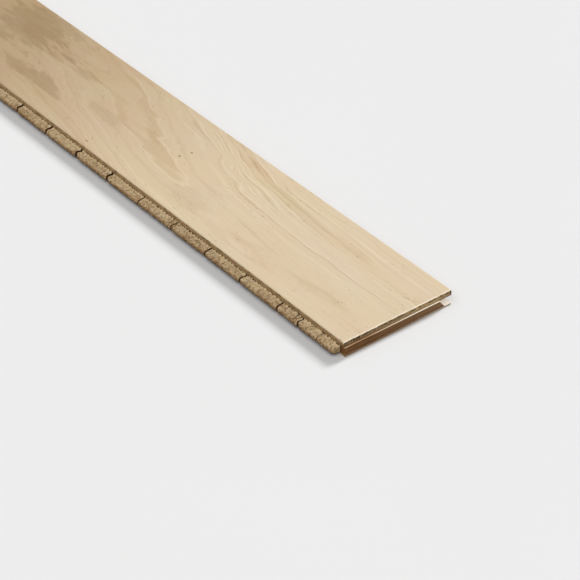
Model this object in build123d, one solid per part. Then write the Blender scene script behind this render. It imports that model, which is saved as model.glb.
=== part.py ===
"""Engineered oak floorboard: an oak wear layer and a back veneer glued to a core of cross-laid slats.

X runs along the board, towards the end where the core laps out under the oak. Y runs across it, with the
tongue on the -Y side and the groove on the +Y side. Z is up. The origin is the middle of the box, on the
floor. All sizes are in millimetres.
"""

import os

from build123d import *

# Face of the board
face_length = 1200.0
face_width = 125.0
edge_bevel = 0.5

# Layers, from the top down
oak_thickness = 4.5
core_thickness = 7.7
veneer_thickness = 1.8

# Tongue on one long side, milled from the slats' ends
tongue_reach = 9.0
tongue_play = 0.3
tongue_top_round = 1.2
tongue_bottom_round = 2.5
tongue_cut_back = 4.5

# Groove on the other long side, under the oak and a thin web of the core
groove_web = 1.1
groove_play = 0.6
groove_slant = 5.5
lower_lip_setback = 2.0

# Lap at the ends: the core and the veneer stand out under the oak at one end and fall short at the other
end_lap = 2.2

# Core slats, from the near end: an end slat, a narrow filler, the common slats and the far end slat
near_slat_width = 57.0
filler_slat_width = 29.5
far_slat_width = 49.5
slat_count = 20
slat_corner_round = 1.4

# Gaps between the slats, which are numbered from the near end
tight_gap = 0.5
open_gap = 1.1
wide_gap = 2.0
open_joints = (1, 2, 3, 4, 12, 14, 19)
wide_joints = (7, 8, 9, 10, 16)

# Levels, worked out from the layers
core_bottom = veneer_thickness
core_top = core_bottom + core_thickness
board_top = core_top + oak_thickness
groove_ceiling = core_top - groove_web
tongue_low = core_bottom + tongue_play
tongue_high = groove_ceiling - tongue_play

# Places across the board
box_width = face_width + tongue_reach
tongue_nose = -box_width / 2
tongue_root = tongue_nose + tongue_reach
groove_mouth = tongue_root + face_width
groove_floor_edge = groove_mouth - tongue_reach - groove_play
groove_top_edge = groove_floor_edge - groove_slant
lower_lip_edge = groove_mouth - lower_lip_setback

# Places along the board
box_length = face_length + end_lap
oak_far = -box_length / 2
oak_near = oak_far + face_length
core_far = oak_far + end_lap
core_near = oak_near + end_lap
tongue_near = oak_near - tongue_cut_back
slat_pitch = (face_length - near_slat_width - filler_slat_width - far_slat_width) / slat_count


def joint_gap(joint):
    """Width of the gap at a joint between two slats."""
    if joint in wide_joints:
        return wide_gap
    if joint in open_joints:
        return open_gap
    return tight_gap


def joint_places():
    """Middles of the joints along the board, from the near end to the far end."""
    first = core_near - near_slat_width
    second = first - filler_slat_width
    return [first] + [second - step * slat_pitch for step in range(slat_count + 1)]


def block(x_range, y_range, z_range):
    """A rectangular solid between the given limits."""
    ranges = (x_range, y_range, z_range)
    size = [high - low for low, high in ranges]
    middle = [(low + high) / 2 for low, high in ranges]
    return Pos(*middle) * Box(*size)


def slat_section():
    """Section of a core slat: a round-nosed tongue, its shoulders, and the groove with its slanted wall."""
    with BuildSketch(Plane.YZ) as section:
        with BuildLine():
            Polyline(
                (tongue_root, core_top),
                (tongue_root, tongue_high),
                (tongue_nose, tongue_high),
                (tongue_nose, tongue_low),
                (tongue_root, tongue_low),
                (tongue_root, core_bottom),
                (groove_floor_edge, core_bottom),
                (groove_top_edge, groove_ceiling),
                (groove_mouth, groove_ceiling),
                (groove_mouth, core_top),
                close=True,
            )
        make_face()
        nose_bottom, nose_top = section.vertices().sort_by(Axis.X)[:2].sort_by(Axis.Y)
        fillet(nose_bottom, tongue_bottom_round)
        fillet(nose_top, tongue_top_round)
    return section.sketch


def ease_tongue_corners(slat):
    """Round the two upright corners of a slat's tongue."""
    nose_edges = slat.edges().filter_by(Axis.Z).group_by(Axis.Y)[0]
    return fillet(nose_edges, slat_corner_round)


def core_slat(x_low, x_high):
    """A slat between two places along the board, before its tongue is eased."""
    return Pos(x_low, 0, 0) * extrude(slat_section(), x_high - x_low, dir=(1, 0, 0))


def near_slat(x_low):
    """The slat at the near end: its tongue stops short of the oak, and no web stands out past the oak."""
    slat = core_slat(x_low, core_near)
    slat -= block((tongue_near, core_near), (tongue_nose, tongue_root), (core_bottom, core_top))
    return slat - block((oak_near, core_near), (groove_top_edge, groove_mouth), (groove_ceiling, core_top))


def core_slats():
    """All core slats by name, from the near end to the far end."""
    names = ["filler_slat"] + [f"core_slat_{number:02d}" for number in range(1, slat_count + 1)]
    places = joint_places()
    near_faces = [place - joint_gap(number) / 2 for number, place in enumerate(places, start=1)]
    far_faces = [place + joint_gap(number) / 2 for number, place in enumerate(places, start=1)]
    slats = {"end_slat_near": near_slat(far_faces[0])}
    for name, near_face, far_face in zip(names, near_faces[:-1], far_faces[1:]):
        slats[name] = core_slat(far_face, near_face)
    slats["end_slat_far"] = core_slat(core_far, near_faces[-1])
    return {name: ease_tongue_corners(slat) for name, slat in slats.items()}


def oak_wear_layer():
    """The oak face, with a small bevel along its two long edges."""
    plank = block((oak_far, oak_near), (tongue_root, groove_mouth), (core_top, board_top))
    long_edges = plank.edges().filter_by(Axis.X).group_by(Axis.Z)[-1]
    return chamfer(long_edges, edge_bevel)


def back_veneer():
    """The back layer, short of the oak on the groove side so that the faces close first."""
    return block((core_far, core_near), (tongue_root, lower_lip_edge), (0, veneer_thickness))


def main():
    """Build every piece and write it to its own file."""
    os.makedirs("parts", exist_ok=True)
    pieces = {"oak_wear_layer": oak_wear_layer(), "back_veneer": back_veneer()}
    pieces.update(core_slats())
    for name, piece in pieces.items():
        export_step(piece, f"parts/{name}.step")


main()
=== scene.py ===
"""Looks of an engineered oak floorboard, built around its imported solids.

The oak wear layer and the core slats are remade with the arrises, torn fibres and chipped edges of milled
wood. The back veneer keeps its solid. Lengths in the mesh code and in the materials are in millimetres, and
are written to the meshes in metres.
"""

import math
import random
from collections import namedtuple

import bmesh
import bpy
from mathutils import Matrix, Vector, noise


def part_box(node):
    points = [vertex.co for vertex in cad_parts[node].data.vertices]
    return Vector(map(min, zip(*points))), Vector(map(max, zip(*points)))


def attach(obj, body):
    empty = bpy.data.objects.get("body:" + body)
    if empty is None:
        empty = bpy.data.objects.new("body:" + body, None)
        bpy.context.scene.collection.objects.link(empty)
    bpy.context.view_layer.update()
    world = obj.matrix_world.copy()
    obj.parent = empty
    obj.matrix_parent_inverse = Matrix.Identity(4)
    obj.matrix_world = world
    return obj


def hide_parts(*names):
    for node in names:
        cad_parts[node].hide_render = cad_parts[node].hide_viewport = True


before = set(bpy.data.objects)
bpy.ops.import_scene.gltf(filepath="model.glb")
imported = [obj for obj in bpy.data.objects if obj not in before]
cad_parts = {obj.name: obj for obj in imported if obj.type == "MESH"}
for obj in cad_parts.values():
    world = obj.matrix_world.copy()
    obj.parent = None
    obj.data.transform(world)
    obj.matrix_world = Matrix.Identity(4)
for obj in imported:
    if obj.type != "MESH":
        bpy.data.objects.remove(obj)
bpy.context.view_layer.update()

bl_info = {
    "name": "Engineered floorboard",
    "version": (1, 0, 0),
    "blender": (4, 5, 0),
    "location": "View3D > Sidebar > Floorboard",
    "description": "Dresses the solids of a three-layer oak floorboard",
    "category": "Add Mesh",
}

# Millimetres in a metre, and the distance in millimetres at which two places are one
MM = 1000.0
TOUCH = 0.01

# Distance in metres at which points are welded, and angle in degrees from which an edge is sharp
WELD_DISTANCE = 2e-6
SHARP_FROM = 38

# Seeds of the marks on the oak, on a slat and at a joint
OAK_SEED = 11
SLAT_SEED = 70
JOINT_SEED = 300

# Materials of the oak and of a slat, in the order that their meshes number them
FACE, END, SIDE, ARRIS = range(4)
TONGUE, BODY, LEDGE = range(3)

# Thin lines in the bands of growth rings: level in the bands, half width, strength and colour
RING_LINES = (
    (0.56, 0.03, 0.5, "oak_line"),
    (0.51, 0.03, 0.34, "oak_arris_and_highlight"),
    (0.42, 0.024, 0.4, "oak_line"),
    (0.38, 0.026, 0.3, "oak_arris_and_highlight"),
)

# Stains in the heart wood, and pin knots: distance from the near end, place across the board, half length and
# half width, how tattered the edge is and how strong the colour
HEART_STAINS = (
    (622, 34, 76, 42, 3.2, 0.4),
    (548, -22, 58, 11, 3.6, 0.32),
    (742, -22, 90, 22, 3.2, 0.3),
    (512, 21, 22, 7, 2.0, 0.24),
    (262, -30, 34, 14, 2.4, 0.13),
    (438, -8, 36, 9, 2.4, 0.15),
)
PIN_KNOTS = (
    (325, 18.2, 1.7, 0.9, 0.6, 0.9),
    (328, 5.4, 2.0, 1.0, 0.6, 0.9),
    (407, -49.8, 1.8, 0.9, 0.6, 0.9),
    (195, 36.6, 1.5, 0.8, 0.6, 0.8),
)

# Joints that stay wide open along the tongue, numbered from the near end
WIDE_JOINTS = (7, 8, 9, 10, 16)

# Cracks in the tongue of some slats, numbered from the near end: place from the slat's far side, slant
# towards the nose and half width
TONGUE_CRACKS = {
    0: ((26.0, 1.2, 0.6), (12.5, -0.8, 0.5)),
    1: ((26.4, -4.6, 0.7), (22.6, 2.4, 0.55)),
    4: ((1.9, 0.4, 0.35), (3.4, 0.2, 0.3), (5.2, 0.5, 0.3)),
    5: ((49.6, -0.4, 0.3), (47.8, 0.3, 0.3)),
}


def linear(code):
    """Turn an sRGB hex colour into linear red, green and blue with full alpha."""
    parts = [int(code[place:place + 2], 16) / 255 for place in (1, 3, 5)]
    return [part / 12.92 if part <= 0.04045 else ((part + 0.055) / 1.055) ** 2.4 for part in parts] + [1.0]


def colour(code, label, about):
    """A colour property with its default given in hex."""
    return bpy.props.FloatVectorProperty(name=label, description=about, default=linear(code), size=4, min=0,
                                         max=1, subtype="COLOR")


def length(millimetres, label, about):
    """A length property with its default given in millimetres."""
    return bpy.props.FloatProperty(name=label, description=about, default=millimetres / MM, min=0,
                                   precision=5, unit="LENGTH", subtype="DISTANCE")


class FloorboardSizes(bpy.types.PropertyGroup):
    """Sizes of the milled edges and of the marks that the cutters leave."""

    tongue_drop: length(1.4, "Tongue drop", "Height from the core's top down to the tongue's top")
    tongue_lift: length(0.3, "Tongue lift", "Height from the core's bottom up to the tongue's underside")
    tongue_top_round: length(2.4, "Tongue top round", "Radius of the tongue's worn upper edge")
    tongue_bottom_round: length(2.5, "Tongue bottom round", "Radius of the tongue's lower edge")
    tongue_cut_back: length(4.5, "Tongue cut back", "Distance from the oak's near end to the tongue")
    tongue_end_round: length(2.6, "Tongue end round", "Radius of the tongue's corner at the near end")
    groove_web: length(1.1, "Groove web", "Thickness of the core left above the groove")
    groove_depth: length(9.6, "Groove depth", "Depth of the groove at its floor")
    groove_slant: length(5.5, "Groove slant", "How much deeper the groove is at its ceiling")
    slat_ease: length(0.25, "Slat ease", "Easing of a slat's sawn arrises")
    torn_depth: length(0.9, "Torn depth", "Depth of the torn pits along the tongue's root")
    root_lift: length(0.45, "Root lift", "Height of the fibres left standing along the tongue's root")
    face_bevel: length(0.5, "Face bevel", "Bevel along the groove edge of the oak")
    worn_bevel: length(1.3, "Worn bevel", "Width of the bevel along the tongue edge of the oak")
    end_arris: length(1.3, "End arris", "Length of the sanded easing at the oak's cut ends")
    end_arris_drop: length(0.18, "End arris drop", "Drop of that easing")
    pore_depth: length(0.5, "Pore depth", "Depth of the open pores in the oak's end grain")
    ring_width: length(17.0, "Ring width", "Usual width of a band of growth rings in the oak")


class FloorboardColours(bpy.types.PropertyGroup):
    """Colours of the woods and of the stage."""

    oak_pale: colour("#e1cdae", "Oak pale", "Late wood of the lacquered oak")
    oak_mid: colour("#d3b891", "Oak middle", "Bands of early wood in the lacquered oak")
    oak_line: colour("#bd9f76", "Oak line", "Ring lines of the lacquered oak")
    # This colour also carries painted shade: the light falling off towards the far end
    oak_heart_and_shade: colour("#b79d79", "Oak heart", "Heart tone towards the far end")
    oak_stain: colour("#8d7350", "Oak stain", "Dark patches in the heart wood")
    oak_pore: colour("#7c5c38", "Oak pore", "Pores and pin knots of the lacquered oak")
    # This colour also serves as painted highlight on the sanded edges, on the ledge and beside wide joints of
    # the tongue
    oak_arris_and_highlight: colour("#fbeed6", "Oak arris", "Sanded edges of the oak, where the lacquer is thin")
    oak_end: colour("#fadba6", "Oak end", "Sawn end grain of the oak")
    oak_end_dark: colour("#4a2d10", "Oak end dark", "Open pores and early wood in the end grain")
    oak_side: colour("#d6b788", "Oak side", "Milled long sides of the oak")
    core_pale: colour("#f9e0b4", "Core pale", "Sawn spruce, late wood")
    # This colour also serves as painted light along the tongue's root
    core_fresh_and_painted_light: colour("#fde7ba", "Core fresh", "Sawn spruce, broken fibres")
    core_tan: colour("#deb984", "Core tan", "Sawn spruce, usual tone")
    # This colour also serves as painted shade in the joints and under the tongue
    core_dark: colour("#5a3109", "Core dark", "Torn pits and joints of the slats")
    # This colour also serves as painted shade on the tongue's nose
    core_face: colour("#a5774c", "Core face", "Moulded long side of the end slat")
    # This colour also serves as the painted shadow along the oak on the ledge
    core_face_dark: colour("#7b5531", "Core face dark", "Late wood on that long side")
    core_ledge: colour("#c9a67e", "Core ledge", "Top of the end slat where it stands out under the oak")
    veneer: colour("#f7ead0", "Veneer", "Peeled spruce of the back")
    veneer_dark: colour("#cfb288", "Veneer dark", "Late wood of the back")
    # This colour is painted light on the top of the groove's lower lip
    veneer_lip: colour("#fff8e8", "Veneer lip", "Fresh cut top of the lower lip of the groove")
    veneer_edge: colour("#c2956a", "Veneer edge", "Cut edges of the back")
    floor: colour("#efefef", "Floor", "Floor as the camera sees it")
    floor_bounce: colour("#8f816d", "Floor bounce", "Floor as it throws light back at the board")


def add(tree, kind, inputs=None, **settings):
    """Add a node with its settings. A node or socket among its inputs is linked, and a value is set."""
    made = tree.nodes.new("ShaderNode" + kind)
    for name, value in settings.items():
        setattr(made, name, value)
    for name, value in (inputs or {}).items():
        if isinstance(value, bpy.types.Node):
            value = next(socket for socket in value.outputs if socket.enabled)
        if isinstance(value, bpy.types.NodeSocket):
            tree.links.new(value, made.inputs[name])
        else:
            made.inputs[name].default_value = value
    return made


def start_material(name):
    """An empty material, and the place on the board in millimetres. A place divided by a size gives a pattern
    of that size."""
    material = bpy.data.materials.new(name)
    material.use_nodes = True
    tree = material.node_tree
    tree.nodes.clear()
    place = add(tree, "VectorMath", {0: add(tree, "TexCoord").outputs["Object"], "Scale": MM},
                operation="SCALE")
    return material, tree, place


def finish_wood(tree, base, roughness, height, depth, gloss=0.3):
    """Close a wood with its shader, and with relief of a depth in millimetres."""
    relief = add(tree, "Bump", {"Height": height, "Distance": depth / MM, "Strength": 1.0})
    surface = add(tree, "BsdfPrincipled", {"Base Color": base, "Roughness": roughness, "Normal": relief,
                                           "IOR": 1.5, "Specular IOR Level": gloss})
    add(tree, "OutputMaterial", {"Surface": surface})


def tint(tree, base, wood, pattern, start, stop, most=1.0):
    """Lay a colour over another one, from nothing where a pattern is at its start to the most at its stop."""
    share = add(tree, "MapRange", {"Value": pattern, "From Min": start, "From Max": stop, "To Max": most})
    return add(tree, "Mix", {0: share, 6: base, 7: wood}, data_type="RGBA")


def oak_rings(tree, place, near_end, face_top):
    """Growth rings of a plain-sawn oak plank.

    The rings are cones round a pith that lies under the tongue side and leans across the board. A face cut
    through them shows straight lines at the near end and arches behind it. Gives back the distance from the
    near end, the place along the grain and the distance from the pith.
    """
    axes = add(tree, "SeparateXYZ", {0: place}).outputs
    back = add(tree, "Math", {0: near_end, 1: axes[0]}, operation="SUBTRACT")
    spot = add(tree, "VectorMath", {0: place, 1: (190, 58, 58)}, operation="DIVIDE")
    drift = add(tree, "TexNoise", {"Vector": spot, "Scale": 1.0, "Detail": 2.5, "Roughness": 0.5})
    drift = add(tree, "SeparateColor", {0: drift.outputs["Color"]}).outputs
    # Away from the near end the pith leans over to the groove side and the grain grows wilder
    lean = add(tree, "MapRange", {"Value": back, "From Min": 150, "From Max": 640, "To Min": -30,
                                  "To Max": 62}, interpolation_type="SMOOTHSTEP")
    wild = add(tree, "MapRange", {"Value": back, "From Min": 60, "From Max": 400, "To Min": 14, "To Max": 52},
               interpolation_type="SMOOTHSTEP")
    sway = add(tree, "Math", {0: drift[0], 1: 0.5}, operation="SUBTRACT")
    across = add(tree, "Math", {0: sway, 1: wild, 2: axes[1]}, operation="MULTIPLY_ADD")
    across = add(tree, "Math", {0: across, 1: lean}, operation="SUBTRACT")
    # The pith comes up from 36 to 4 mm under the face, which cuts the rings into arches
    taper = add(tree, "MapRange", {"Value": back, "From Min": 120, "From Max": 760, "To Min": 36,
                                   "To Max": 4}, interpolation_type="SMOOTHSTEP")
    depth = add(tree, "Math", {0: axes[2], 1: face_top}, operation="SUBTRACT")
    depth = add(tree, "Math", {0: depth, 1: taper}, operation="ADD")
    sway = add(tree, "Math", {0: drift[1], 1: 0.5}, operation="SUBTRACT")
    sway = add(tree, "Math", {0: sway, 1: wild}, operation="MULTIPLY")
    depth = add(tree, "Math", {0: sway, 1: 0.65, 2: depth}, operation="MULTIPLY_ADD")
    grain = add(tree, "CombineXYZ", {0: axes[0], 1: across, 2: depth})
    ring = add(tree, "VectorMath", {0: grain, 1: (0, 1, 1)}, operation="MULTIPLY")
    ring = add(tree, "VectorMath", {0: ring}, operation="LENGTH")
    spot = add(tree, "VectorMath", {0: place, 1: (72, 13, 13)}, operation="DIVIDE")
    ripple = add(tree, "TexNoise", {"Vector": spot, "Scale": 1.0, "Detail": 2.0})
    ring = add(tree, "Math", {0: ripple, 1: 9.0, 2: ring}, operation="MULTIPLY_ADD")
    return back, grain, ring


def skin(rows, ring):
    """Faces of a closed profile of so many points that is carried over rows, and of its two caps."""
    faces = []
    for row in range(rows - 1):
        for spot in range(ring):
            following = (spot + 1) % ring
            faces.append((row * ring + spot, row * ring + following, (row + 1) * ring + following,
                          (row + 1) * ring + spot))
    return faces + [tuple(range(ring)), tuple(range((rows - 1) * ring, rows * ring))]


def mesh_from(name, verts, faces, marks, torn):
    """A clean closed mesh, smooth but for its sharp edges, with its torn depth kept at each point. On a
    slat that value also holds the painted shade of the joints and the painted highlights.
    """
    made = bpy.data.meshes.new(name)
    made.from_pydata(verts, [], faces)
    made.polygons.foreach_set("material_index", marks)
    made.attributes.new("torn", "FLOAT", "POINT").data.foreach_set("value", torn)
    shell = bmesh.new()
    shell.from_mesh(made)
    bmesh.ops.remove_doubles(shell, verts=shell.verts, dist=WELD_DISTANCE)
    bmesh.ops.dissolve_degenerate(shell, edges=shell.edges, dist=WELD_DISTANCE / 2)
    bmesh.ops.recalc_face_normals(shell, faces=shell.faces)
    shell.to_mesh(made)
    shell.free()
    made.polygons.foreach_set("use_smooth", [True] * len(made.polygons))
    made.set_sharp_from_angle(angle=math.radians(SHARP_FROM))
    made.update()
    return made


def settle(context, piece_name, mesh, materials, node):
    """Make a piece of a mesh, and let it stand for a node of the board."""
    for material in materials:
        mesh.materials.append(material)
    piece = bpy.data.objects.new(piece_name, mesh)
    context.scene.collection.objects.link(piece)
    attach(piece, "root")
    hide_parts(node)


class FLOORBOARD_OT_oak(bpy.types.Operator):
    """Remake the oak wear layer with eased arrises, open pores and chipped ends"""

    bl_idname = "floorboard.oak"
    bl_label = "Oak wear layer"

    # Steps along and across the face, and places across an edge in parts of its bevel
    STEPS_ALONG = 48
    STEPS_ACROSS = 208
    EDGE_PARTS = (0.0, 0.1, 0.3, 0.62, 1.0, 1.6)
    # Open pores in the cut ends, and chips along their upper edge
    PORES = 190
    CHIPS = 60

    def execute(self, context):
        sizes = context.scene.floorboard_sizes
        colours = context.scene.floorboard_colours
        low, high = [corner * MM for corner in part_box("oak_wear_layer")]
        materials = (self.lacquered_face(sizes, colours, high), self.end_grain(colours, high),
                     self.milled_side(colours, low), self.sanded_arris_and_highlight(colours))
        settle(context, "oak_board", self.mesh(sizes, low, high), materials, "oak_wear_layer")
        return {"FINISHED"}

    def mesh(self, sizes, low, high):
        """A lengthwise profile carried across the board in steps of about half a millimetre."""
        chance = random.Random(OAK_SEED)
        arris, slope = sizes.end_arris * MM, sizes.end_arris_drop * MM
        bevel, worn, pore = sizes.face_bevel * MM, sizes.worn_bevel * MM, sizes.pore_depth * MM
        tall, run = high.z - low.z, high.x - low.x
        end = [(0.0, part * (tall - slope)) for part in (0, 0.1, 0.22, 0.35, 0.48, 0.61, 0.74, 0.87, 1)]
        end += [(-0.35 * arris, tall - 0.4 * slope), (-arris, tall)]
        steps = self.STEPS_ALONG
        top = [(-arris - (run - 2 * arris) * step / steps, tall) for step in range(1, steps)]
        profile = end + top + [(-run - shift, rise) for shift, rise in reversed(end)]
        end_kinds = [END] * 8 + [ARRIS] * 2
        kinds = end_kinds + [FACE] * steps + end_kinds[::-1] + [SIDE]
        edge = self.EDGE_PARTS
        across = [low.y + part * worn for part in edge]
        count = self.STEPS_ACROSS
        inner = high.y - low.y - edge[-1] * (worn + bevel)
        across += [across[len(edge) - 1] + inner * step / count for step in range(1, count)]
        across += [high.y - part * bevel for part in reversed(edge)]
        pits = [(chance.uniform(low.y, high.y), chance.uniform(0.5, tall - 0.8), chance.uniform(0.3, 0.65))
                for _ in range(self.PORES)]
        chips = [(chance.uniform(low.y, high.y), chance.uniform(0.4, 1.3), chance.uniform(0.1, 0.4))
                 for _ in range(self.CHIPS)]
        verts, torn = [], []
        for y in across:
            lost = max(1 - (y - low.y) / worn, 1 - (high.y - y) / bevel, 0)
            drop = bevel * lost * (0.5 + 0.5 * lost)
            for shift, rise in profile:
                inward = -1 if shift > -2 * arris else 1 if shift < 2 * arris - run else 0
                x, z, cut = high.x + shift, low.z + rise * (tall - drop) / tall, 0.0
                if inward:
                    cut = self.end_cut(y, rise, pits, pore)
                    if TOUCH < rise < tall - TOUCH:
                        x += inward * cut
                    if rise > tall - slope - TOUCH:
                        x += inward * 0.6 * sum(deep * math.exp(-((y - chip_y) / wide) ** 2)
                                                for chip_y, wide, deep in chips)
                verts.append((x / MM, y / MM, z / MM))
                torn.append(cut / pore)
        marks = []
        for row in range(len(across) - 1):
            on_face = SIDE if row < 2 else ARRIS if row > len(across) - len(edge) else FACE
            marks += [on_face if kind == FACE else kind for kind in kinds]
        faces = skin(len(across), len(profile))
        return mesh_from("oak_board", verts, faces, marks + [SIDE, SIDE], torn)

    def end_cut(self, y, rise, pits, pore):
        """Depth of the open pores and of the saw's roughness at a place on a cut end."""
        cut = 0.0
        for pit_y, pit_z, wide in pits:
            reach = ((y - pit_y) ** 2 + (rise - pit_z) ** 2) / wide ** 2
            if reach < 4:
                cut = max(cut, pore * math.exp(-1.4 * reach))
        return cut + 0.07 * abs(noise.noise(Vector((y * 1.7, rise * 2.0, 3.1))))

    def lacquered_face(self, sizes, colours, high):
        """Plain-sawn oak under matt lacquer: a pale ground with soft bands that run into arches, thin ring
        lines beside pale ones, short brown pores, a tone that darkens towards the far end, partly heart and
        partly painted shade for the light falling off, and hardly any gloss."""
        material, tree, place = start_material("oak_plain_sawn_matt_lacquer")
        back, grain, ring = oak_rings(tree, place, high.x, high.z)
        bands = add(tree, "TexNoise", {"W": ring, "Scale": 1 / (sizes.ring_width * MM), "Detail": 1.6,
                                       "Roughness": 0.5}, noise_dimensions="1D")
        # The bands show in patches near the end, and everywhere behind it
        spot = add(tree, "VectorMath", {0: place, 1: (105, 15, 15)}, operation="DIVIDE")
        patch = add(tree, "TexNoise", {"Vector": spot, "Scale": 1.0, "Detail": 2.0})
        patch = add(tree, "MapRange", {"Value": patch, "From Min": 0.4, "From Max": 0.62, "To Min": 0.05,
                                       "To Max": 1.0})
        figure = add(tree, "MapRange", {"Value": back, "From Min": 190, "From Max": 340, "To Max": 0.62},
                     interpolation_type="SMOOTHSTEP")
        patch = add(tree, "Math", {0: patch, 1: figure}, operation="MAXIMUM")
        tone = add(tree, "MapRange", {"Value": bands, "From Min": 0.34, "From Max": 0.72, "To Max": 0.55},
                   interpolation_type="SMOOTHSTEP")
        tone = add(tree, "Math", {0: tone, 1: patch}, operation="MULTIPLY")
        base = add(tree, "Mix", {0: tone, 6: colours.oak_pale, 7: colours.oak_mid}, data_type="RGBA")
        for level, wide, share, wood in RING_LINES:
            line = add(tree, "Math", {0: bands, 1: level}, operation="SUBTRACT")
            line = add(tree, "Math", {0: line}, operation="ABSOLUTE")
            line = add(tree, "MapRange", {"Value": line, "From Max": wide, "To Min": share, "To Max": 0.0},
                       interpolation_type="SMOOTHSTEP")
            line = add(tree, "Math", {0: line, 1: patch}, operation="MULTIPLY")
            base = add(tree, "Mix", {0: line, 6: base, 7: getattr(colours, wood)}, data_type="RGBA")
        spot = add(tree, "VectorMath", {0: grain, 1: (46, 1.7, 7)}, operation="DIVIDE")
        streak = add(tree, "TexNoise", {"Vector": spot, "Scale": 1.0, "Detail": 4.0, "Roughness": 0.62})
        base = tint(tree, base, colours.oak_mid, streak, 0.42, 0.75, 0.34)
        # Darker away from the near end, partly heart and partly painted shade for the light falling off,
        # clearing again towards the far end
        heart_and_shade = add(tree, "MapRange", {"Value": back, "From Min": 200, "From Max": 720},
                   interpolation_type="SMOOTHSTEP")
        fresh = add(tree, "MapRange", {"Value": back, "From Min": 760, "From Max": 1080, "To Min": 1.0,
                                       "To Max": 0.45}, interpolation_type="SMOOTHSTEP")
        heart_and_shade = add(tree, "Math", {0: heart_and_shade, 1: fresh}, operation="MULTIPLY")
        spot = add(tree, "VectorMath", {0: place, 1: (90, 26, 26)}, operation="DIVIDE")
        cloud = add(tree, "TexNoise", {"Vector": spot, "Scale": 1.0, "Detail": 4.0, "Roughness": 0.55})
        swing = add(tree, "MapRange", {"Value": cloud, "From Min": 0.3, "From Max": 0.7, "To Min": 0.85,
                                       "To Max": 1.12})
        heart_and_shade = add(tree, "Math", {0: heart_and_shade, 1: swing}, operation="MULTIPLY", use_clamp=True)
        base = add(tree, "Mix", {0: heart_and_shade, 6: base, 7: colours.oak_heart_and_shade}, data_type="RGBA")
        base = add(tree, "Mix", {0: 0.07, 6: base, 7: cloud.outputs["Color"]}, data_type="RGBA",
                   blend_type="OVERLAY")
        spot = add(tree, "VectorMath", {0: grain, 1: (34, 9, 20)}, operation="DIVIDE")
        tatter = add(tree, "TexNoise", {"Vector": spot, "Scale": 1.0, "Detail": 4.0, "Roughness": 0.6})
        mottle = add(tree, "MapRange", {"Value": cloud, "From Min": 0.36, "From Max": 0.62, "To Min": 0.55,
                                        "To Max": 1.15})
        marks = [(stain, colours.oak_stain) for stain in HEART_STAINS]
        marks += [(knot, colours.oak_pore) for knot in PIN_KNOTS]
        for (from_end, y, half_long, half_wide, torn, share), wood in marks:
            middle = (high.x - from_end, y, high.z)
            away = add(tree, "VectorMath", {0: place, 1: middle}, operation="SUBTRACT")
            away = add(tree, "VectorMath", {0: away, 1: (half_long, half_wide, 40)}, operation="DIVIDE")
            away = add(tree, "VectorMath", {0: away}, operation="LENGTH")
            edge = add(tree, "Math", {0: tatter, 1: 0.5}, operation="SUBTRACT")
            away = add(tree, "Math", {0: edge, 1: torn, 2: away}, operation="MULTIPLY_ADD")
            spread = add(tree, "MapRange", {"Value": away, "From Min": 0.55, "From Max": 1.1, "To Min": share,
                                            "To Max": 0.0}, interpolation_type="SMOOTHSTEP")
            spread = add(tree, "Math", {0: spread, 1: mottle}, operation="MULTIPLY")
            base = add(tree, "Mix", {0: spread, 6: base, 7: wood}, data_type="RGBA")
        # Real pores are about 0.2 mm wide, finer than a pixel, so they are drawn about three times as wide
        spot = add(tree, "VectorMath", {0: grain, 1: (7.0, 0.7, 5.0)}, operation="DIVIDE")
        pores = add(tree, "TexNoise", {"Vector": spot, "Scale": 1.0, "Detail": 1.5})
        pores = add(tree, "MapRange", {"Value": pores, "From Min": 0.65, "From Max": 0.71},
                    interpolation_type="SMOOTHSTEP")
        spot = add(tree, "VectorMath", {0: grain, 1: (52, 9, 20)}, operation="DIVIDE")
        rows = add(tree, "TexNoise", {"Vector": spot, "Scale": 1.0, "Detail": 1.0})
        rows = add(tree, "MapRange", {"Value": rows, "From Min": 0.5, "From Max": 0.6})
        pores = add(tree, "Math", {0: pores, 1: rows}, operation="MULTIPLY")
        share = add(tree, "Math", {0: pores, 1: 0.48}, operation="MULTIPLY")
        base = add(tree, "Mix", {0: share, 6: base, 7: colours.oak_pore}, data_type="RGBA")
        dull = add(tree, "MapRange", {"Value": streak, "From Min": 0.3, "From Max": 0.8, "To Min": 0.52,
                                      "To Max": 0.64})
        relief = add(tree, "Math", {0: streak, 1: 0.3}, operation="MULTIPLY")
        relief = add(tree, "Math", {0: relief, 1: pores}, operation="SUBTRACT")
        finish_wood(tree, base, dull, relief, 0.05, 0.15)
        return material

    def end_grain(self, colours, high):
        """Oak sawn across its fibres: the rings show as bands through the thickness, the early pores as dark
        holes and the rays as thin pale lines, all dull and open."""
        material, tree, place = start_material("oak_sawn_end_grain")
        ring = oak_rings(tree, place, high.x, high.z)[2]
        bands = add(tree, "TexNoise", {"W": ring, "Scale": 1 / 3.0, "Detail": 3.0, "Roughness": 0.6},
                    noise_dimensions="1D")
        share = add(tree, "MapRange", {"Value": bands, "From Min": 0.42, "From Max": 0.7, "To Max": 0.3},
                    interpolation_type="SMOOTHSTEP")
        base = add(tree, "Mix", {0: share, 6: colours.oak_end, 7: colours.oak_pore}, data_type="RGBA")
        axes = add(tree, "SeparateXYZ", {0: place}).outputs
        heart = add(tree, "MapRange", {"Value": axes[1], "From Min": high.y - 115, "From Max": high.y - 30,
                                       "To Min": 0.72, "To Max": 0.0})
        base = add(tree, "Mix", {0: heart, 6: base, 7: colours.oak_pore}, data_type="RGBA")
        spot = add(tree, "VectorMath", {0: place, 1: (8, 0.9, 5)}, operation="DIVIDE")
        rays = add(tree, "TexNoise", {"Vector": spot, "Scale": 1.0, "Detail": 2.0})
        base = tint(tree, base, colours.core_fresh_and_painted_light, rays, 0.5, 0.64, 0.85)
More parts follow.
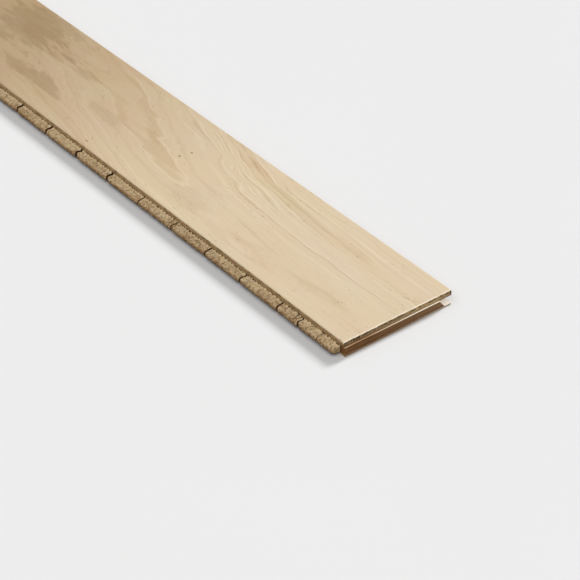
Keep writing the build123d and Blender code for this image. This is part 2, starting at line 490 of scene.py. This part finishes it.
        # Pores are about 0.3 mm across, and are drawn about twice as wide in clusters so that they show
        holes = add(tree, "TexVoronoi", {"Vector": place, "Scale": 1 / 0.95, "Randomness": 1.0})
        holes = add(tree, "MapRange", {"Value": holes, "From Min": 0.28, "From Max": 0.45, "To Min": 1.0,
                                       "To Max": 0.0}, interpolation_type="SMOOTHSTEP")
        spot = add(tree, "VectorMath", {0: place, 1: (14, 3.0, 2.2)}, operation="DIVIDE")
        early = add(tree, "TexNoise", {"Vector": spot, "Scale": 1.0, "Detail": 2.0})
        clusters = add(tree, "MapRange", {"Value": early, "From Min": 0.46, "From Max": 0.58})
        holes = add(tree, "Math", {0: holes, 1: clusters}, operation="MULTIPLY")
        blots = add(tree, "MapRange", {"Value": early, "From Min": 0.5, "From Max": 0.6, "To Max": 1.3})
        blots = add(tree, "Math", {0: blots, 1: heart}, operation="MULTIPLY")
        holes = add(tree, "Math", {0: holes, 1: blots}, operation="MAXIMUM")
        torn = add(tree, "Attribute", attribute_name="torn").outputs["Fac"]
        torn = add(tree, "MapRange", {"Value": torn, "From Min": 0.15, "From Max": 0.6})
        holes = add(tree, "Math", {0: holes, 1: torn}, operation="MAXIMUM")
        # The pores are open in the upper part, and the end is darker along the corner at the groove
        upper = add(tree, "MapRange", {"Value": axes[2], "From Min": high.z - 3.6, "From Max": high.z - 2.2,
                                       "To Min": 0.35})
        holes = add(tree, "Math", {0: holes, 1: upper}, operation="MULTIPLY")
        groove_corner_darkening = add(tree, "MapRange", {"Value": axes[1], "From Min": high.y - 2.2, "From Max": high.y - 1.2,
                                        "To Max": 0.85})
        holes = add(tree, "Math", {0: holes, 1: groove_corner_darkening}, operation="MAXIMUM")
        base = add(tree, "Mix", {0: holes, 6: base, 7: colours.oak_end_dark}, data_type="RGBA")
        relief = add(tree, "Math", {0: rays, 1: holes}, operation="SUBTRACT")
        finish_wood(tree, base, 0.8, relief, 0.3)
        return material

    def milled_side(self, colours, low):
        """Long side of the oak, cut by a moulder and left bare: straight brownish grain along the board with
        faint cutter ripples."""
        material, tree, place = start_material("oak_milled_long_side")
        spot = add(tree, "VectorMath", {0: place, 1: (38, 2, 0.9)}, operation="DIVIDE")
        streak = add(tree, "TexNoise", {"Vector": spot, "Scale": 1.0, "Detail": 4.0, "Roughness": 0.6})
        base = tint(tree, colours.oak_side, colours.oak_line, streak, 0.3, 0.7)
        spot = add(tree, "VectorMath", {0: place, 1: (5, 6, 2.6)}, operation="DIVIDE")
        blotch = add(tree, "TexNoise", {"Vector": spot, "Scale": 1.0, "Detail": 3.0, "Roughness": 0.6})
        base = tint(tree, base, colours.oak_end_dark, blotch, 0.46, 0.7, 0.7)
        height = add(tree, "SeparateXYZ", {0: place}).outputs[2]
        foot = add(tree, "MapRange", {"Value": height, "From Min": low.z, "From Max": low.z + 2.0,
                                      "To Min": 0.4, "To Max": 0.0})
        base = add(tree, "Mix", {0: foot, 6: base, 7: colours.oak_pore}, data_type="RGBA")
        # Cutter ripples follow each other at about 2 mm
        ripple = add(tree, "TexWave", {"Vector": place, "Scale": math.tau / 20 / 2.0, "Distortion": 1.5},
                     bands_direction="X")
        relief = add(tree, "Math", {0: ripple.outputs["Fac"], 1: 0.4, 2: streak}, operation="MULTIPLY_ADD")
        finish_wood(tree, base, 0.72, relief, 0.06)
        return material

    def sanded_arris_and_highlight(self, colours):
        """Oak edge rounded by sandpaper: the lacquer is thin, so the wood is duller there, and paler partly
        from the sanding and partly as a painted highlight of the edge catching the light.
        """
        material, tree, place = start_material("oak_sanded_arris")
        spot = add(tree, "VectorMath", {0: place, 1: (9, 6, 3)}, operation="DIVIDE")
        wear = add(tree, "TexNoise", {"Vector": spot, "Scale": 1.0, "Detail": 3.0})
        base = tint(tree, colours.oak_arris_and_highlight, colours.oak_pale, wear, 0.4, 0.75)
        dull = add(tree, "MapRange", {"Value": wear, "From Min": 0.2, "From Max": 0.8, "To Min": 0.5,
                                      "To Max": 0.66})
        spot = add(tree, "VectorMath", {0: place, 1: (14, 0.8, 0.8)}, operation="DIVIDE")
        fibres = add(tree, "TexNoise", {"Vector": spot, "Scale": 1.0, "Detail": 2.0})
        finish_wood(tree, base, dull, fibres, 0.04)
        return material


Joint = namedtuple("Joint", "bend wind corner ragged shut")
SectionPoint = namedtuple("SectionPoint", "y z out_y out_z on_tongue")


def joint_at(number):
    """How a joint bends across the tongue and winds, how round its corners are, how ragged it is and how far
    its gap closes between the root and the nose. Joints are numbered from the near end."""
    chance = random.Random(JOINT_SEED + number)
    if number == 1:
        return Joint(1.2, 0.8, 1.3, 0.7, 0.8)
    if number in WIDE_JOINTS:
        return Joint(chance.uniform(0.5, 1.4), chance.uniform(0.7, 1.3), chance.uniform(2.0, 2.8), 0.35, 0.0)
    return Joint(chance.uniform(-0.7, 0.7), chance.uniform(-0.4, 0.6), chance.uniform(1.5, 2.5),
                 chance.uniform(0.15, 0.4), 0.3)


class Slat:
    """A core slat, with its joints and with the marks that the cutters tore in its tongue."""

    # Length of a step along the slat, and how many points of its section lie on the upper shoulder
    STEP = 0.42
    SHOULDER_POINTS = 4
    # How far from a joint it bends the slat, closes its own gap and frays the fibres
    BEND_REACH = 7.0
    CLOSING_REACH = 3.0
    FRAYED_REACH = 1.5
    # Half of the narrowest gap that a joint closes to, and the gap from which a painted highlight shows
    # beside it
    CLOSED_HALF_GAP = 0.06
    PAINTED_HIGHLIGHT_GAP = 1.5
    # Depth that the growth rings and the fuzzy fibres give to the tongue
    RING_RELIEF = 0.22
    FUZZ_RELIEF = 0.2

    def __init__(self, sizes, number, box, open_gaps, oak):
        chance = random.Random(SLAT_SEED + number)
        self.sizes, self.number, self.open_gaps, self.oak = sizes, number, open_gaps, oak
        self.low, self.high = box
        self.root = oak[0].y
        self.reach = self.root - self.low.y
        self.torn_depth = sizes.torn_depth * MM
        self.near_end = number == 0
        self.ends = [joint_at(number + 1), joint_at(number)]
        self.stop = self.high.x
        if self.near_end:
            self.stop = oak[1].x - sizes.tongue_cut_back * MM
            self.ends[1] = Joint(0.0, 0.0, sizes.tongue_end_round * MM, 0.08, 0.0)
        # Torn pits along the root: place along the board, half width, share of the depth and length
        self.pits, spot = [], self.low.x
        while spot < self.stop:
            spot += chance.uniform(1.3, 5.4)
            self.pits.append((spot, chance.uniform(0.45, 0.95), chance.uniform(0.75, 1.0),
                              chance.uniform(0.2, 0.7)))
        # Splits: place along the board, half width, share of the depth, middle across the tongue and length
        self.splits = [(chance.uniform(self.low.x, self.stop), chance.uniform(0.25, 0.5),
                        chance.uniform(0.25, 0.7), chance.uniform(0.15, 1.0), chance.uniform(0.12, 0.4))
                       for _ in range(round((self.stop - self.low.x) / 2.8))]
        self.cracks = TONGUE_CRACKS.get(number, ())
        self.pith = (chance.uniform(self.low.x - 12, self.high.x + 12),
                     chance.choice((-1, 1)) * chance.uniform(12, 34))

    def section(self):
        """The section from the tongue's upper shoulder round to the groove, as points with their outward
        direction. The tongue's top stands up along the root, more so away from the near end."""
        sizes, low, high, root = self.sizes, self.low, self.high, self.root
        lift = sizes.root_lift * MM * (1 + min(self.number, 8) / 8)
        mouth, nose = self.oak[1].y, low.y
        top, bottom = high.z - sizes.tongue_drop * MM, low.z + sizes.tongue_lift * MM
        upper, lower = sizes.tongue_top_round * MM, sizes.tongue_bottom_round * MM
        ceiling = high.z - sizes.groove_web * MM
        floor_edge = mouth - sizes.groove_depth * MM
        points = [(root, high.z - part * (high.z - top - lift), -1, 0, False) for part in (0, 0.3, 0.6, 0.85)]
        flat = root - nose - upper
        points += [(root - flat * part, top + lift * (1 - part * part), 0, 1, True) for part in
                   (0.0, 0.03, 0.07, 0.11, 0.16, 0.22, 0.29, 0.37, 0.45, 0.54, 0.63, 0.72, 0.81, 0.9, 1.0)]
        for step in range(1, 6):
            turn = math.radians(90 + 18 * step)
            points.append((nose + upper + upper * math.cos(turn), top - upper + upper * math.sin(turn),
                           math.cos(turn), math.sin(turn), True))
        tall = top - upper - bottom - lower
        points += [(nose, top - upper - tall * part, -1, 0, True) for part in (0.2, 0.4, 0.6, 0.8, 1.0)]
        for step in range(1, 7):
            turn = math.radians(180 + 15 * step)
            points.append((nose + lower + lower * math.cos(turn), bottom + lower + lower * math.sin(turn),
                           math.cos(turn), math.sin(turn), True))
        under = root - nose - lower
        points += [(nose + lower + under * part, bottom, 0, -1, True) for part in (0.25, 0.5, 0.75, 1.0)]
        points += [(root, low.z, -1, -1, False), (floor_edge, low.z, 1, -1, False)]
        slant = sizes.groove_slant * MM
        points += [(floor_edge - slant * part, low.z + (ceiling - low.z) * part, 1, 0, False)
                   for part in (0.33, 0.67, 1.0)]
        points += [(mouth, ceiling, 1, -1, False), (mouth, high.z, 1, 1, False)]
        return [SectionPoint(*point) for point in points]

    def stations(self):
        """Places along the slat with how far the section is eased in there, and how many have the tongue."""
        start, stop, finish = self.low.x, self.stop, self.high.x
        ease = self.sizes.slat_ease * MM
        wide = stop - start
        steps = max(8, round(wide / self.STEP))
        places = [(start, ease), (start + 0.4 * ease, 0.35 * ease)]
        places += [(start + ease + (wide - 2 * ease) * step / steps, 0.0) for step in range(steps + 1)]
        places += [(stop - 0.4 * ease, 0.35 * ease), (stop, ease)]
        tongue_rows = len(places)
        if self.near_end:
            places += [(stop + part, 0.0) for part in (0.0, 0.9, 1.9, 2.9, 3.9, 4.45)]
            places += [(self.oak[1].x + 0.02, 0.0), (finish - ease, 0.0), (finish - 0.3 * ease, 0.3 * ease),
                       (finish, ease)]
        return places, tongue_rows

    def tongue_cut(self, x, point, share):
        """Depth of the torn fibres at a point of the tongue, a share of the way from the root to the nose."""
        ring = math.hypot(x - self.pith[0], point.z - self.pith[1])
        grain = noise.noise(Vector((ring / 1.2, point.y / 26, self.number * 3.7)))
        fuzz = noise.noise(Vector((x, point.y / 1.3, point.z + self.number)))
        cut = self.RING_RELIEF * max(0, grain) + self.FUZZ_RELIEF * max(0, fuzz)
        for pit_x, wide, deep, long in self.pits:
            if abs(x - pit_x) < 2.5 * wide and point.out_z > 0.9:
                along = share * self.reach / (0.45 + long)
                cut = max(cut, self.torn_depth * deep * math.exp(-((x - pit_x) / wide) ** 2 - along ** 2))
        for split_x, wide, deep, middle, long in self.splits:
            if abs(x - split_x) < 2.5 * wide:
                along = (share - middle) / long
                cut = max(cut, self.torn_depth * deep * math.exp(-((x - split_x) / wide) ** 2 - along ** 2))
        for crack_x, slant, wide in self.cracks:
            stray = 1.6 * noise.noise(Vector((share * 2.3, crack_x, self.number)))
            side = (x - self.low.x - crack_x - slant * share - stray) / wide
            deep = min(1.0, 0.75 + noise.noise(Vector((share * 3.1, self.number, crack_x))))
            cut = max(cut, self.torn_depth * deep * math.exp(-side ** 2))
        return cut

    def shoulder_cut(self, x):
        """Depth of the pits where they run up the shoulder over the tongue."""
        return self.torn_depth * max(deep * math.exp(-((x - pit_x) / wide) ** 2)
                                     for pit_x, wide, deep, _ in self.pits)

    def tongue_point(self, x, point):
        """Where a point of the tongue comes to lie, and how torn or shaded it is: 1 is a full pit or the full
        painted shade in a joint, and less than nothing is a painted highlight."""
        share = (self.root - point.y) / self.reach
        gaps = (x - self.low.x, self.stop - x)
        x_at, pull, dark = x, 0.0, 0.0
        for way, gap, opened, end in zip((1, -1), gaps, reversed(self.open_gaps), self.ends):
            # The corner beside the joint draws the nose in, and the joint bends and winds the slat
            if gap < end.corner:
                pull = max(pull, end.corner - math.sqrt(max(end.corner ** 2 - (end.corner - gap) ** 2, 0)))
            near = max(0.0, 1 - gap / self.BEND_REACH)
            turned = end.bend * share * share + end.wind * math.sin(math.tau * share)
            x_at += turned * near * near * (3 - 2 * near)
            # The gap closes between the root and the nose
            middle = math.sin(math.pi * min(1.0, share / 0.9)) ** 0.5
            closing = max(0.0, 1 - gap / self.CLOSING_REACH)
            spare = max(0.0, opened / 2 - self.CLOSED_HALF_GAP)
            x_at -= way * spare * end.shut * middle * closing
            # Fibres fray beside the gap, and painted shade darkens the slat in and beside the gap, deepest at
            # the root
            if gap < self.FRAYED_REACH:
                rough = abs(noise.noise(Vector((point.y * 0.8, point.z * 0.8, self.number + end.bend))))
                x_at += way * end.ragged * rough * (1 - gap / self.FRAYED_REACH)
                notch = max(0.0, 1 - share / 0.2)
                deep = min(end.corner, 2.6) * (0.42 + 0.3 * notch)
                dark = max(dark, 0.95 * (1 - gap / deep) * (end.ragged > 0.1))
        # A painted highlight, like a lit splinter, stands near the root beside a wide gap
        painted_highlight = 0.0
        if self.open_gaps[0] > self.PAINTED_HIGHLIGHT_GAP:
            painted_highlight = math.exp(-((gaps[1] - 1.8) / 0.8) ** 2 - ((share - 0.14) / 0.13) ** 2)
        # The worn nose wanders in by up to 0.9 mm
        sag = 0.9 * max(0.0, noise.noise(Vector((x / 6, self.number * 1.9, 0.4))))
        cut = self.tongue_cut(x, point, share)
        y_at = self.root + (point.y - self.root) * (1 - (pull + sag) / self.reach) - cut * point.out_y
        z_at = point.z - 0.4 * pull * max(0, point.out_z) - cut * point.out_z
        return x_at, y_at, z_at, min(1.0, max(cut / self.torn_depth, dark)) - 1.6 * painted_highlight

    def mesh(self, name):
        """The section carried along the slat in steps of under half a millimetre."""
        points = self.section()
        stations, tongue_rows = self.stations()
        oak_end = self.oak[1].x
        ceiling = self.high.z - self.sizes.groove_web * MM
        inner = self.oak[1].y - (self.sizes.groove_depth + self.sizes.groove_slant) * MM
        verts, torn = [], []
        for row, (x, inset) in enumerate(stations):
            for order, point in enumerate(points):
                x_at, y_at, z_at, mark = x, point.y, point.z, 0.0
                if point.on_tongue and row >= tongue_rows:
                    y_at = self.root
                elif point.on_tongue:
                    x_at, y_at, z_at, mark = self.tongue_point(x, point)
                elif 0 < order < self.SHOULDER_POINTS and row < tongue_rows:
                    cut = self.shoulder_cut(x)
                    y_at += 0.6 * cut
                    mark = cut / self.torn_depth
                if self.near_end and x > oak_end and point.z > ceiling - TOUCH and point.y > inner:
                    y_at = inner
                y_at -= inset * point.out_y
                z_at -= inset * point.out_z
                verts.append((x_at / MM, y_at / MM, z_at / MM))
                torn.append(mark)
        ring = len(points)
        marks = []
        for row, (x, _) in enumerate(stations[:-1]):
            for spot in range(ring):
                ledge = spot == ring - 1 and self.near_end and x > oak_end - 0.1
                on_tongue = points[spot].on_tongue or points[(spot + 1) % ring].on_tongue
                body = not on_tongue and spot >= self.SHOULDER_POINTS
                marks.append(LEDGE if ledge else BODY if body or row >= tongue_rows else TONGUE)
        return mesh_from(name, verts, skin(len(stations), ring), marks + [BODY, BODY], torn)


class FLOORBOARD_OT_slats(bpy.types.Operator):
    """Remake the core slats with their milled tongue, torn fibres and ragged joints"""

    bl_idname = "floorboard.slats"
    bl_label = "Core slats"

    def execute(self, context):
        sizes = context.scene.floorboard_sizes
        colours = context.scene.floorboard_colours
        oak = [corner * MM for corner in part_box("oak_wear_layer")]
        materials = (self.torn_tongue(colours, oak), self.moulded_side(colours, oak),
                     self.planed_ledge(colours, oak))
        names = [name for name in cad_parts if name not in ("oak_wear_layer", "back_veneer")]
        names.sort(key=lambda name: -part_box(name)[1].x)
        boxes = [[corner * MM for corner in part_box(name)] for name in names]
        gaps = [0.0] + [near[0].x - far[1].x for near, far in zip(boxes, boxes[1:])] + [0.0]
        for number, name in enumerate(names):
            slat = Slat(sizes, number, boxes[number], gaps[number:number + 2], oak)
            settle(context, "milled_" + name, slat.mesh("milled_" + name), materials, name)
        return {"FINISHED"}

    def torn_tongue(self, colours, oak):
        """Spruce milled across its fibres: fuzzy tan end grain with ring lines, bright broken fibres and dark
        pits where the cutter has torn it, quite dull. Painted shade darkens the nose, the underside and the
        joints, painted light brightens the root and a painted highlight stands beside wide joints."""
        material, tree, place = start_material("spruce_milled_end_grain")
        spot = add(tree, "VectorMath", {0: place, 1: (2.2, 40, 3.0)}, operation="DIVIDE")
        rings = add(tree, "TexNoise", {"Vector": spot, "Scale": 1.0, "Detail": 3.0, "Roughness": 0.6})
        base = tint(tree, colours.core_pale, colours.core_tan, rings, 0.32, 0.68)
        spot = add(tree, "VectorMath", {0: place, 1: (38, 30, 30)}, operation="DIVIDE")
        patch = add(tree, "TexNoise", {"Vector": spot, "Scale": 1.0, "Detail": 3.0})
        base = tint(tree, base, colours.core_face, patch, 0.42, 0.66, 0.5)
        facing = add(tree, "SeparateXYZ", {0: add(tree, "TexCoord").outputs["Normal"]}).outputs
        # Painted shade on faces turned to the tongue side, away from the key light, mostly the nose
        base = tint(tree, base, colours.core_face, facing[1], -0.35, -1.0, 0.75)
        # Fine fuzz, dark where the cutter tore and bright where fibres broke, then the same in clumps
        spot = add(tree, "VectorMath", {0: place, 1: (0.8, 2.2, 1.2)}, operation="DIVIDE")
        specks = add(tree, "TexNoise", {"Vector": spot, "Scale": 1.0, "Detail": 3.0, "Roughness": 0.7})
        spot = add(tree, "VectorMath", {0: place, 1: (12, 9, 9)}, operation="DIVIDE")
        rough = add(tree, "TexNoise", {"Vector": spot, "Scale": 1.0, "Detail": 2.0})
        rough = add(tree, "MapRange", {"Value": rough, "From Min": 0.42, "From Max": 0.57, "To Min": 0.2})
        share = add(tree, "MapRange", {"Value": specks, "From Min": 0.52, "From Max": 0.63, "To Max": 0.9})
        share = add(tree, "Math", {0: share, 1: rough}, operation="MULTIPLY")
        base = add(tree, "Mix", {0: share, 6: base, 7: colours.core_dark}, data_type="RGBA")
        base = tint(tree, base, colours.core_fresh_and_painted_light, specks, 0.46, 0.36, 0.8)
        spot = add(tree, "VectorMath", {0: place, 1: (3.6, 2.2, 2.2)}, operation="DIVIDE")
        clumps = add(tree, "TexNoise", {"Vector": spot, "Scale": 1.0, "Detail": 2.0, "Roughness": 0.6})
        base = tint(tree, base, colours.core_dark, clumps, 0.54, 0.7, 0.42)
        base = tint(tree, base, colours.core_fresh_and_painted_light, clumps, 0.47, 0.36, 0.4)
        # Painted light lifts the root out of the shade of its corner; holes and pits are dark, and painted
        # shade darkens the joints and the underside, with a painted highlight beside wide joints
        across = add(tree, "SeparateXYZ", {0: place}).outputs[1]
        base = tint(tree, base, colours.core_fresh_and_painted_light, across, oak[0].y - 3.6, oak[0].y - 0.8, 0.75)
        spot = add(tree, "VectorMath", {0: place, 1: (0.9, 4.2, 1.1)}, operation="DIVIDE")
        holes = add(tree, "TexNoise", {"Vector": spot, "Scale": 1.0, "Detail": 1.0})
        base = tint(tree, base, colours.core_dark, holes, 0.62, 0.68, 0.7)
        torn = add(tree, "Attribute", attribute_name="torn").outputs["Fac"]
        base = tint(tree, base, colours.core_dark, torn, 0.2, 0.75, 0.96)
        base = tint(tree, base, colours.oak_arris_and_highlight, torn, -0.1, -0.7, 0.9)
        base = tint(tree, base, colours.core_dark, facing[2], 0.05, -0.6, 0.85)
        relief = add(tree, "Math", {0: rings, 1: specks}, operation="ADD")
        finish_wood(tree, base, 0.86, relief, 0.35)
        return material

    def moulded_side(self, colours, oak):
        """Spruce run through a moulder along its grain: a smooth brown side with darker late wood in long
        streaks across the board, paler towards the groove, a little burnished."""
        material, tree, place = start_material("spruce_moulded_long_grain")
        spot = add(tree, "VectorMath", {0: place, 1: (1.6, 40, 1.2)}, operation="DIVIDE")
        streak = add(tree, "TexNoise", {"Vector": spot, "Scale": 1.0, "Detail": 4.0, "Roughness": 0.58})
        base = tint(tree, colours.core_face, colours.core_face_dark, streak, 0.34, 0.68)
        axes = add(tree, "SeparateXYZ", {0: place}).outputs
        base = tint(tree, base, colours.core_ledge, axes[1], oak[0].y + 30, oak[1].y, 0.4)
        spot = add(tree, "VectorMath", {0: place, 1: (9, 18, 4)}, operation="DIVIDE")
        patch = add(tree, "TexNoise", {"Vector": spot, "Scale": 1.0, "Detail": 3.0})
        base = tint(tree, base, colours.core_face_dark, patch, 0.5, 0.75, 0.5)
        # Painted shade on the side in the corner past the end of the tongue, on the tongue side
        painted_corner_shade = add(tree, "MapRange", {"Value": axes[0], "From Min": oak[1].x - 4.0, "From Max": oak[1].x - 1.0,
                                     "To Min": 0.9, "To Max": 0.0})
        side = add(tree, "Math", {0: axes[1], 1: oak[0].y + 0.3}, operation="LESS_THAN")
        share = add(tree, "Math", {0: painted_corner_shade, 1: side}, operation="MULTIPLY")
        base = add(tree, "Mix", {0: share, 6: base, 7: colours.core_dark}, data_type="RGBA")
        dull = add(tree, "MapRange", {"Value": streak, "From Min": 0.3, "From Max": 0.7, "To Min": 0.55,
                                      "To Max": 0.7})
        finish_wood(tree, base, dull, streak, 0.1)
        return material

    def planed_ledge(self, colours, oak):
        """Top of the end slat where it stands out under the oak: planed and brown, painted paler towards the
        groove as painted light from that side, with a painted shadow along the oak."""
        material, tree, place = start_material("spruce_planed_ledge")
        spot = add(tree, "VectorMath", {0: place, 1: (1.4, 24, 1.4)}, operation="DIVIDE")
        streak = add(tree, "TexNoise", {"Vector": spot, "Scale": 1.0, "Detail": 3.0})
        base = tint(tree, colours.core_ledge, colours.core_face, streak, 0.4, 0.75)
        axes = add(tree, "SeparateXYZ", {0: place}).outputs
        # Painted light: paler towards the groove side, where the light comes from
        painted_light_towards_groove = add(tree, "MapRange", {"Value": axes[1], "From Min": oak[0].y + 25, "From Max": oak[0].y + 85})
        base = add(tree, "Mix", {0: painted_light_towards_groove, 6: base, 7: colours.oak_arris_and_highlight}, data_type="RGBA")
        # A painted shadow of the oak's lower edge along the oak, weaker where the painted light is
        painted_shadow_line = add(tree, "MapRange", {"Value": axes[0], "From Min": oak[1].x + 0.7,
                                      "From Max": oak[1].x + 1.1, "To Min": 0.85, "To Max": 0.0})
        shadow_weakening = add(tree, "Math", {0: painted_light_towards_groove, 1: -0.15, 2: 1.0}, operation="MULTIPLY_ADD")
        painted_shadow_line = add(tree, "Math", {0: painted_shadow_line, 1: shadow_weakening}, operation="MULTIPLY")
        base = add(tree, "Mix", {0: painted_shadow_line, 6: base, 7: colours.core_face_dark}, data_type="RGBA")
        finish_wood(tree, base, 0.7, streak, 0.05)
        return material


class FLOORBOARD_OT_veneer(bpy.types.Operator):
    """Give the back veneer its peeled spruce"""

    bl_idname = "floorboard.veneer"
    bl_label = "Back veneer"

    def execute(self, context):
        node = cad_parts["back_veneer"]
        node.data.materials.clear()
        node.data.materials.append(self.peeled_spruce(context.scene.floorboard_colours))
        return {"FINISHED"}

    def peeled_spruce(self, colours):
        """Spruce peeled from a turning log: broad wavy figure along the board, fine checks from the knife, a
        dry pale surface painted paler still on top as painted light, and cut edges that are browner towards
        the tongue."""
        material, tree, place = start_material("spruce_peeled_veneer")
        spot = add(tree, "VectorMath", {0: place, 1: (240, 34, 30)}, operation="DIVIDE")
        swell = add(tree, "TexNoise", {"Vector": spot, "Scale": 1.0, "Detail": 3.0, "Roughness": 0.55})
        wave = add(tree, "Math", {0: swell, 1: 46.0}, operation="MULTIPLY")
        rings = add(tree, "TexNoise", {"W": wave, "Scale": 0.8, "Detail": 3.0}, noise_dimensions="1D")
        base = tint(tree, colours.veneer, colours.veneer_dark, rings, 0.42, 0.7)
        spot = add(tree, "VectorMath", {0: place, 1: (40, 0.9, 0.9)}, operation="DIVIDE")
        fibres = add(tree, "TexNoise", {"Vector": spot, "Scale": 1.0, "Detail": 3.0, "Roughness": 0.6})
        base = tint(tree, base, colours.veneer_dark, fibres, 0.5, 0.8, 0.5)
        spot = add(tree, "VectorMath", {0: place, 1: (13, 0.7, 1.5)}, operation="DIVIDE")
        checks = add(tree, "TexNoise", {"Vector": spot, "Scale": 1.0, "Detail": 1.0})
        checks = add(tree, "MapRange", {"Value": checks, "From Min": 0.69, "From Max": 0.76})
        share = add(tree, "Math", {0: checks, 1: 0.5}, operation="MULTIPLY")
        base = add(tree, "Mix", {0: share, 6: base, 7: colours.core_dark}, data_type="RGBA")
        facing = add(tree, "SeparateXYZ", {0: add(tree, "TexCoord").outputs["Normal"]}).outputs[2]
        # Faces turned up are painted paler: painted light on the lip's top, where the key light reaches
        base = tint(tree, base, colours.veneer_lip, facing, 0.5, 0.9, 0.95)
        upright = add(tree, "Math", {0: facing}, operation="ABSOLUTE")
        upright = add(tree, "Math", {0: upright, 1: 0.5}, operation="LESS_THAN")
        cut = add(tree, "Math", {0: fibres, 1: 0.5, 2: 0.55}, operation="MULTIPLY_ADD")
        share = add(tree, "Math", {0: upright, 1: cut}, operation="MULTIPLY")
        across = add(tree, "SeparateXYZ", {0: place}).outputs[1]
        edge = tint(tree, colours.veneer_edge, colours.veneer_lip, across, 0, 45, 0.85)
        base = add(tree, "Mix", {0: share, 6: base, 7: edge}, data_type="RGBA")
        relief = add(tree, "Math", {0: fibres, 1: checks}, operation="SUBTRACT")
        finish_wood(tree, base, 0.8, relief, 0.08)
        return material


class FLOORBOARD_OT_stage(bpy.types.Operator):
    """Lay the floor, hang the lights and set the camera"""

    bl_idname = "floorboard.stage"
    bl_label = "Stage"

    # Half width of the floor in metres
    FLOOR_HALF = 8.0
    # Lamps: name, heading, strength and spread in degrees
    LAMPS = (
        ("key", (0.17, -0.98, -0.6), 2.56, 14),
        ("overhead", (-0.1, 0.42, -1.0), 1.12, 75),
    )
    FILL_STRENGTH = 0.25
    # Camera: place in metres, turn and downward tilt in degrees, and lens in millimetres
    EYE_PLACE = (1.751241, -1.029076, 1.185276)
    EYE_TURN = 51.6401
    EYE_TILT = 36.4873
    EYE_LENS = 136.92

    def execute(self, context):
        scene = context.scene
        scene.view_settings.view_transform = "Standard"
        self.floor(scene)
        self.lights(scene)
        self.camera(scene)
        return {"FINISHED"}

    def floor(self, scene):
        """A matt painted floor. It looks pale, and throws back light as a duller floor would."""
        half = self.FLOOR_HALF
        plane = bpy.data.meshes.new("pale_floor")
        plane.from_pydata([(-half, -half, 0), (half, -half, 0), (half, half, 0), (-half, half, 0)], [],
                          [(0, 1, 2, 3)])
        colours = scene.floorboard_colours
        material, tree, place = start_material("floor_matt_paint")
        spot = add(tree, "VectorMath", {0: place, 1: (400, 400, 400)}, operation="DIVIDE")
        wash = add(tree, "TexNoise", {"Vector": spot, "Scale": 1.0, "Detail": 2.0})
        share = add(tree, "Math", {0: wash, 1: 0.03}, operation="MULTIPLY")
        paint = add(tree, "Mix", {0: share, 6: colours.floor, 7: colours.floor_bounce}, data_type="RGBA")
        path = add(tree, "LightPath").outputs
        seen = add(tree, "Math", {0: path["Is Camera Ray"], 1: path["Is Glossy Ray"]}, operation="MAXIMUM")
        seen = add(tree, "Math", {0: seen, 1: path["Is Transmission Ray"]}, operation="MAXIMUM")
        base = add(tree, "Mix", {0: seen, 6: colours.floor_bounce, 7: paint}, data_type="RGBA")
        add(tree, "OutputMaterial", {"Surface": add(tree, "BsdfDiffuse", {"Color": base})})
        plane.materials.append(material)
        floor = bpy.data.objects.new("pale_floor", plane)
        scene.collection.objects.link(floor)

    def lights(self, scene):
        """A soft key from behind the groove side, a broad light overhead and an even fill."""
        for name, heading, power, spread in self.LAMPS:
            lamp = bpy.data.lights.new(name, "SUN")
            lamp.energy = power
            lamp.angle = math.radians(spread)
            holder = bpy.data.objects.new(name, lamp)
            holder.rotation_euler = Vector(heading).to_track_quat("-Z", "Y").to_euler()
            scene.collection.objects.link(holder)
        world = bpy.data.worlds.new("even_fill")
        world.use_nodes = True
        fill = world.node_tree.nodes["Background"].inputs
        fill["Color"].default_value = (1, 1, 1, 1)
        fill["Strength"].default_value = self.FILL_STRENGTH
        scene.world = world

    def camera(self, scene):
        """Stand above the near end on the tongue side, with a long lens."""
        eye = bpy.data.cameras.new("eye")
        eye.lens = self.EYE_LENS
        holder = bpy.data.objects.new("eye", eye)
        tilt, turn = math.radians(self.EYE_TILT), math.radians(self.EYE_TURN)
        look = Vector((-math.sin(turn) * math.cos(tilt), math.cos(turn) * math.cos(tilt), -math.sin(tilt)))
        holder.location = self.EYE_PLACE
        holder.rotation_euler = look.to_track_quat("-Z", "Y").to_euler()
        scene.collection.objects.link(holder)
        scene.camera = holder


class FLOORBOARD_PT_sidebar(bpy.types.Panel):
    """Sizes, colours and steps of the floorboard"""

    bl_idname = "FLOORBOARD_PT_sidebar"
    bl_label = "Floorboard"
    bl_space_type = "VIEW_3D"
    bl_region_type = "UI"
    bl_category = "Floorboard"

    def draw(self, context):
        for group in (context.scene.floorboard_sizes, context.scene.floorboard_colours):
            column = self.layout.column()
            for name in group.bl_rna.properties.keys():
                if name not in ("rna_type", "name"):
                    column.prop(group, name)
        for step in STEPS:
            self.layout.operator(step.bl_idname)


STEPS = (FLOORBOARD_OT_oak, FLOORBOARD_OT_slats, FLOORBOARD_OT_veneer, FLOORBOARD_OT_stage)
CLASSES = (FloorboardSizes, FloorboardColours, *STEPS, FLOORBOARD_PT_sidebar)


def register():
    """Register the classes and hang the settings on the scene."""
    for kind in CLASSES:
        bpy.utils.register_class(kind)
    bpy.types.Scene.floorboard_sizes = bpy.props.PointerProperty(type=FloorboardSizes)
    bpy.types.Scene.floorboard_colours = bpy.props.PointerProperty(type=FloorboardColours)


def unregister():
    """Take the settings off the scene and unregister the classes."""
    del bpy.types.Scene.floorboard_sizes
    del bpy.types.Scene.floorboard_colours
    for kind in reversed(CLASSES):
        bpy.utils.unregister_class(kind)


def main():
    """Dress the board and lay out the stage."""
    register()
    bpy.ops.floorboard.oak()
    bpy.ops.floorboard.slats()
    bpy.ops.floorboard.veneer()
    bpy.ops.floorboard.stage()


if __name__ == "__main__":
    main()
